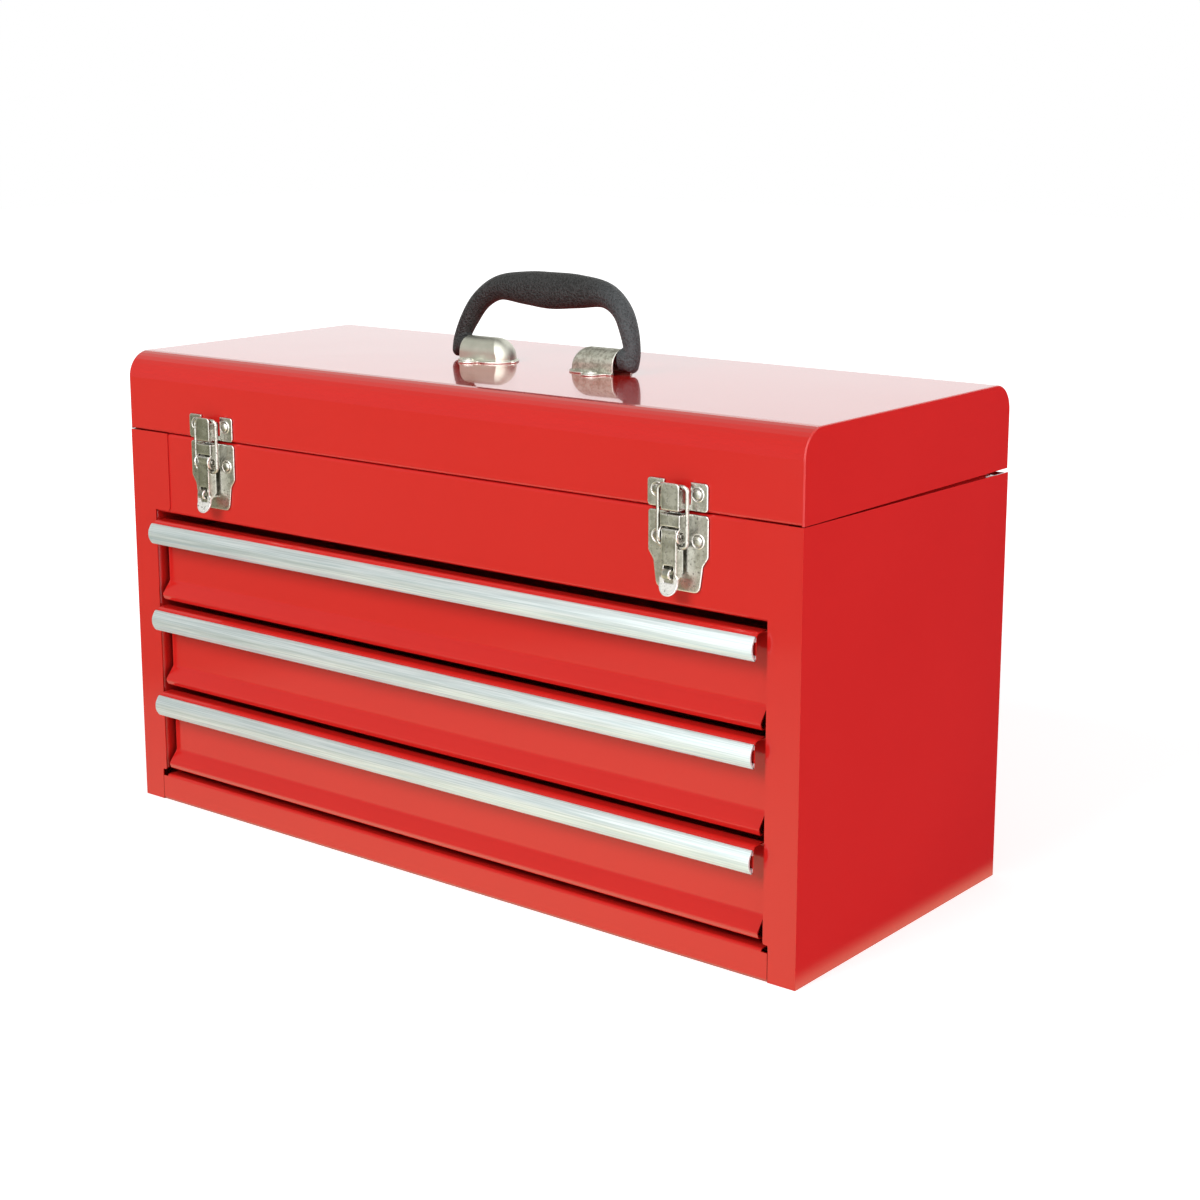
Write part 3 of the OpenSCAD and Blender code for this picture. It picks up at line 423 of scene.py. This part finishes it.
def add_softbox(name, place, size, watts):
    """A square area lamp turned to the box, seen neither by the camera nor in gloss."""
    data = bpy.data.lights.new(name, "AREA")
    data.shape = "SQUARE"
    data.size = size
    data.energy = watts
    lamp = bpy.data.objects.new(name, data)
    bpy.context.scene.collection.objects.link(lamp)
    aim = (Vector(BOX_MIDDLE) - Vector(place)).to_track_quat("-Z", "Y")
    lamp.matrix_world = Matrix.Translation(place) @ aim.to_matrix().to_4x4()
    lamp.visible_glossy = False
    lamp.visible_camera = False


def add_studio():
    """Floor, room and two lamps round the box."""
    add_floor()
    add_room()
    for name, place, size, watts in LAMPS:
        add_softbox(name, place, size, watts)


# ---- Shaping -----------------------------------------------------------------

SLOTS = {row["node"]: row["material_slot"] for row in frame["record"]["subparts"]}
BODY_OF = {}
for body_name, body in frame["bodies"].items():
    for child in body.children:
        if child.name in frame["nodes"]:
            BODY_OF[child.name] = body_name

# Painted highlight: how far up from its lower end a lever's tab is painted pale.
TAB_HIGHLIGHT_LENGTH = 9 * MM  # of a lever, from its lower end up
FINISHES = {
    "red_enamel": red_enamel(), "nickel_plate": worn_nickel(),
    "pull_aluminium": pull_aluminium(), "black_rubber": grip_rubber(),
    "zinc_steel": zinc_steel(), "cage_steel": cage_steel(),
    "bracket_steel": bracket_steel(),
    "lever_nickel_lit_tab": worn_nickel("lever_nickel_lit_tab",
                                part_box("latch_lever_left")[0].z + TAB_HIGHLIGHT_LENGTH),
}
FLAT_ANGLE = math.radians(0.3)
EDGE_ANGLE = math.radians(28)


def finish_of(node):
    """The finish of a node: its slot's, but for the handle's brackets and the levers."""
    if "bracket" in node:
        return FINISHES["bracket_steel"]
    return FINISHES["lever_nickel_lit_tab" if "lever" in node else SLOTS[node]]


def paint_nodes():
    """Gives each CAD node its finish."""
    for name, piece in frame["nodes"].items():
        piece.data.materials.clear()
        piece.data.materials.append(finish_of(name))


def add_piece(name, mesh, node):
    """Links a new piece that stands for a CAD node and moves with its body."""
    piece = bpy.data.objects.new(name, mesh)
    bpy.context.scene.collection.objects.link(piece)
    mesh.materials.clear()
    mesh.materials.append(finish_of(node))
    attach(piece, BODY_OF[node])
    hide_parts(node)
    return piece


def soften(piece, width):
    """Rounds a piece's edges by modifiers, with its mesh left as it is."""
    flat = piece.modifiers.new("flat", "DECIMATE")
    flat.decimate_type = "DISSOLVE"
    flat.angle_limit = FLAT_ANGLE
    edge = piece.modifiers.new("edge", "BEVEL")
    edge.width = width
    edge.segments = 2
    edge.limit_method = "ANGLE"
    edge.angle_limit = EDGE_ANGLE
    for face in piece.data.polygons:
        face.use_smooth = True
    normal = piece.modifiers.new("normal", "WEIGHTED_NORMAL")
    normal.keep_sharp = True


def wear_down(piece, grain, passes, keep):
    """Rounds a piece all over: a new skin of that grain, smoothed and then thinned."""
    skin = piece.modifiers.new("skin", "REMESH")
    skin.mode = "VOXEL"
    skin.voxel_size = grain
    skin.use_smooth_shade = True
    wear = piece.modifiers.new("wear", "SMOOTH")
    wear.factor = 0.5
    wear.iterations = passes
    thin = piece.modifiers.new("thin", "DECIMATE")
    thin.ratio = keep


def add_worn(node, grain, passes):
    """A copy of a node with its edges worn round and its inside corners filled a little."""
    piece = add_piece(node + "_worn", frame["nodes"][node].data.copy(), node)
    wear_down(piece, grain, passes, 0.3)


def add_trimmed(node, seam):
    """A copy of a node with its front top edge raised, so that the seam above it is finer.

    The edge is what lies close below the seam's height and close behind the front.
    """
    mesh = frame["nodes"][node].data.copy()
    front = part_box("upper_front_panel")[0].y
    for vertex in mesh.vertices:
        below, behind = seam - vertex.co.z, vertex.co.y - front
        if 0.2 * MM < below < 4 * MM and behind < 20 * MM:
            vertex.co.z += SEAM_RISE
    soften(add_piece(node + "_trimmed", mesh, node), 0.3 * MM)


# ---- Sections ----------------------------------------------------------------

def fillet(path, radii, steps):
    """A polyline in a plane with its inner corners rounded, each in that many steps."""
    points = [Vector(path[0])]
    for before, at, after, radius in zip(path, path[1:], path[2:], radii):
        before, at, after = Vector(before), Vector(at), Vector(after)
        to_before, to_after = (before - at).normalized(), (after - at).normalized()
        half = math.acos(max(-1, min(1, to_before.dot(to_after)))) / 2
        reach = radius / math.tan(half)
        centre = at + (to_before + to_after).normalized() * radius / math.sin(half)
        start, end = at + to_before * reach - centre, at + to_after * reach - centre
        for i in range(steps + 1):
            between = start.lerp(end, i / steps).normalized() * radius
            points.append(centre + between)
    return points + [Vector(path[-1])]


def band(path, width):
    """The closed outline of a strip of that width along a path."""
    left, right = [], []
    for i, at in enumerate(path):
        along = (path[min(i + 1, len(path) - 1)] - path[max(i - 1, 0)]).normalized()
        side = Vector((-along.y, along.x)) * width / 2
        left.append(at + side)
        right.append(at - side)
    return left + right[::-1]


def smooth_mesh(name, shape, sharp_angle):
    """A smooth-shaded mesh of a shape, with creases where its faces meet more sharply."""
    bmesh.ops.recalc_face_normals(shape, faces=shape.faces)
    mesh = bpy.data.meshes.new(name)
    shape.to_mesh(mesh)
    shape.free()
    mesh.polygons.foreach_set("use_smooth", [True] * len(mesh.polygons))
    mesh.set_sharp_from_angle(angle=math.radians(sharp_angle))
    return mesh


def loft(name, rings):
    """A closed mesh through rings of equally many points, with flat ends."""
    count, last = len(rings[0]), len(rings) - 1
    faces = [tuple(range(count))[::-1], tuple(range(last * count, (last + 1) * count))]
    for i in range(last):
        for k in range(count):
            a, b = i * count + k, i * count + (k + 1) % count
            faces.append((a, b, b + count, a + count))
    shape = bmesh.new()
    verts = [shape.verts.new(point) for ring in rings for point in ring]
    for face in faces:
        shape.faces.new([verts[i] for i in face])
    return smooth_mesh(name, shape, 35)


# ---- Drawer pulls ------------------------------------------------------------

PULL_WALL = 1.1 * MM
PULL_HOOK = 2.4 * MM
PULL_FLAT = 2.2 * MM  # half the height of the crown's flat middle
PULL_RADII = [0.7 * MM, 1.2 * MM, 6 * MM, 6 * MM, 1.2 * MM, 0.7 * MM]
PULL_TRIM = 0.3 * MM
PULL_INSET = 0.12 * MM


def pull_section(low, high):
    """Outline of the extrusion in (y, z): a crowned face with a hook along each edge."""
    back, crown = high.y - PULL_WALL / 2, low.y + PULL_WALL / 2
    edge = back - 0.8 * MM
    bottom, top = low.z + PULL_WALL / 2, high.z - PULL_WALL / 2
    middle = (bottom + top) / 2
    path = [(back, top - PULL_HOOK), (back, top), (edge, top), (crown, middle + PULL_FLAT),
            (crown, middle - PULL_FLAT), (edge, bottom), (back, bottom),
            (back, bottom + PULL_HOOK)]
    return band(fillet(path, PULL_RADII, 7), PULL_WALL)


def add_pull(level):
    """A pull with its sawn ends rounded off a little."""
    node = f"drawer_{level}_pull"
    low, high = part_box(node)
    outline = pull_section(low, high)
    centre = sum(outline, Vector((0, 0))) / len(outline)
    rings = []
    for x, inset in ((low.x, PULL_INSET), (low.x + PULL_TRIM, 0),
                     (high.x - PULL_TRIM, 0), (high.x, PULL_INSET)):
        ring = []
        for point in outline:
            inward = (centre - point).normalized() * inset
            ring.append((x, point.x + inward.x, point.y + inward.y))
        rings.append(ring)
    add_piece(node + "_strip", loft(node + "_strip", rings), node)


# ---- Handle grip -------------------------------------------------------------

HANDLE_PIVOT = Vector((0, 0, 309)) * MM
HANDLE_LEAN = math.radians(13)
# The grip's sizes are in mm from the pivot, before it leans back
BOSS_INNER_X = 61.0
BOSS_RADIUS = 6.9
GRIP_SIDES = 32
# Middle line of the right half, from the foot up: across, up, half width, half depth
GRIP_LINE = [
    (67.0, -7.3, 1.8, 2.2), (67.2, -6.7, 3.3, 3.7), (67.4, -5.1, 4.6, 5.0),
    (67.5, -2.6, 4.9, 5.4), (67.4, 4, 4.9, 5.5), (62.9, 16.8, 5.5, 6.7),
    (55.6, 28.5, 6.1, 7.25), (42.6, 36.9, 7.7, 7.4), (20, 38.2, 10.4, 7.4),
    (0, 37.65, 11.4, 7.4),
]


def smooth_line(knots, steps):
    """Points on a curve through the knots, each a vector (centripetal Catmull-Rom)."""
    knots = [2 * knots[0] - knots[1], *knots, 2 * knots[-1] - knots[-2]]
    points = []
    for a, b, c, d in zip(knots, knots[1:], knots[2:], knots[3:]):
        ab, bc, cd = ((q.xy - p.xy).length ** 0.5 for p, q in ((a, b), (b, c), (c, d)))
        out_b = (b - a) / ab - (c - a) / (ab + bc) + (c - b) / bc
        out_c = (c - b) / bc - (d - b) / (bc + cd) + (d - c) / cd
        for i in range(steps):
            t = i / steps
            points.append(b * (2 * t ** 3 - 3 * t ** 2 + 1) + c * (3 * t ** 2 - 2 * t ** 3)
                          + out_b * bc * (t ** 3 - 2 * t ** 2 + t)
                          + out_c * bc * (t ** 3 - t ** 2))
    return points + [knots[-2]]


def add_grip():
    """The moulded grip: one swelling tube with a boss at each foot, blended together."""
    half = [Vector(knot) for knot in GRIP_LINE]
    knots = half + [Vector((-k.x, k.y, k.z, k.w)) for k in half[-2::-1]]
    line = smooth_line(knots, 8)
    lean = Matrix.Rotation(-HANDLE_LEAN, 4, "X")

    def placed(across, back, up):
        return HANDLE_PIVOT + lean @ (Vector((across, back, up)) * MM)

    rings = []
    for i, at in enumerate(line):
        along = (line[min(i + 1, len(line) - 1)].xy - line[max(i - 1, 0)].xy).normalized()
        ring = []
        for k in range(GRIP_SIDES):
            angle = 2 * math.pi * k / GRIP_SIDES
            out, back = math.cos(angle) * at.z, math.sin(angle) * at.w
            ring.append(placed(at.x - along.y * out, back, at.y + along.x * out))
        rings.append(ring)
    mesh = loft("grip_tube", rings)
    shape = bmesh.new()
    shape.from_mesh(mesh)
    turn = Matrix.Rotation(math.pi / 2, 4, "Y")
    for side in (-1, 1):
        made = bmesh.ops.create_cone(
            shape, cap_ends=True, segments=GRIP_SIDES, radius1=BOSS_RADIUS,
            radius2=BOSS_RADIUS, depth=half[0].x - BOSS_INNER_X)
        for vertex in made["verts"]:
            spot = turn @ vertex.co
            spot.x += side * (half[0].x + BOSS_INNER_X) / 2
            vertex.co = placed(*spot)
    shape.to_mesh(mesh)
    shape.free()
    grip = add_piece("handle_grip_moulding", mesh, "handle_grip")
    wear_down(grip, 0.45 * MM, 12, 0.5)


# ---- Rivets ------------------------------------------------------------------

WELD = 1e-6
HEAD_SIDES = 40


def solids_of(node):
    """The lowest and highest corners of each separate solid in a node."""
    shape = bmesh.new()
    shape.from_mesh(frame["nodes"][node].data)
    bmesh.ops.remove_doubles(shape, verts=shape.verts, dist=WELD)
    left, boxes = set(shape.verts), []
    while left:
        front, found = [left.pop()], []
        while front:
            vertex = front.pop()
            found.append(vertex.co.copy())
            for edge in vertex.link_edges:
                other = edge.other_vert(vertex)
                if other in left:
                    left.remove(other)
                    front.append(other)
        boxes.append([Vector(pick(point[axis] for point in found) for axis in range(3))
                      for pick in (min, max)])
    shape.free()
    return sorted(boxes, key=lambda corners: tuple(corners[0]))


# Sections of rivet heads as (radius, height) shares, from the middle out
DOME_HEAD = [(0.12, 1.0), (0.28, 0.97), (0.42, 0.88), (0.54, 0.73), (0.62, 0.5), (0.66, 0.22),
             (0.69, 0.06), (0.76, 0.05), (0.8, 0.12), (0.84, 0.26), (0.88, 0.3), (0.93, 0.27),
             (0.98, 0.15), (1.0, 0.0)]
RING_HEAD = [(0.1, 0.2), (0.3, 0.22), (0.4, 0.35), (0.46, 0.7), (0.52, 0.92), (0.62, 1.0),
             (0.72, 0.92), (0.8, 0.7), (0.86, 0.45), (0.93, 0.3), (0.98, 0.2), (1.0, 0.0)]


def turned(name, section, seats):
    """Heads of revolution with one section; a seat is (foot, out, radius, height)."""
    shape = bmesh.new()
    for foot, out, radius, height in seats:
        turn = Vector((0, 0, 1)).rotation_difference(out)
        rings = []
        for share, rise in section:
            ring = []
            for k in range(HEAD_SIDES):
                angle = 2 * math.pi * k / HEAD_SIDES
                point = Vector((math.cos(angle) * share * radius,
                                math.sin(angle) * share * radius, rise * height))
                ring.append(shape.verts.new(foot + turn @ point))
            rings.append(ring)
        shape.faces.new(rings[0])
        for inner, outer in zip(rings, rings[1:]):
            for k in range(HEAD_SIDES):
                n = (k + 1) % HEAD_SIDES
                shape.faces.new((inner[k], outer[k], outer[n], inner[n]))
        shape.faces.new(rings[-1][::-1])
    return smooth_mesh(name, shape, 60)


def add_rivets(node, out, section):
    """Rivet heads in place of a node's plain ones, each standing along out."""
    out = Vector(out)
    seats = []
    for low, high in solids_of(node):
        middle = (low + high) / 2
        size = high - low
        height = abs(size.dot(out))
        radius = max(value for value, along in zip(size, out) if abs(along) < 0.5) / 2
        seats.append((middle - out * height / 2, out, radius, height))
    add_piece(node + "_heads", turned(node + "_heads", section, seats), node)


# ---- Dressing the box --------------------------------------------------------

EDGE_ROUND = 0.25 * MM
SEAM_RISE = 0.8 * MM
# Nodes whose edges are worn all over: grain of the new skin, smoothing passes
WORN = {
    "latch_base": (0.2 * MM, 24), "latch_strike": (0.2 * MM, 24), "latch_lever": (0.2 * MM, 20),
    "handle_bracket": (0.25 * MM, 8),
}

add_camera()
add_studio()
paint_nodes()
for level in ("bottom", "middle", "top"):
    add_pull(level)
for part, (grain, passes) in WORN.items():
    for side in ("left", "right"):
        add_worn(f"{part}_{side}", grain, passes)
add_grip()
add_rivets("latch_base_rivets", (0, -1, 0), DOME_HEAD)
add_rivets("strike_rivets", (0, -1, 0), DOME_HEAD)
add_rivets("bracket_rivets", (0, 0, 1), RING_HEAD)
seam_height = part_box("lid_shell")[0].z
for part in ("upper_front_panel", "side_panel_left", "side_panel_right"):
    add_trimmed(part, seam_height)
for node in frame["nodes"].values():
    if not node.hide_render:
        soften(node, EDGE_ROUND)

bpy.context.scene.view_settings.view_transform = "Standard"
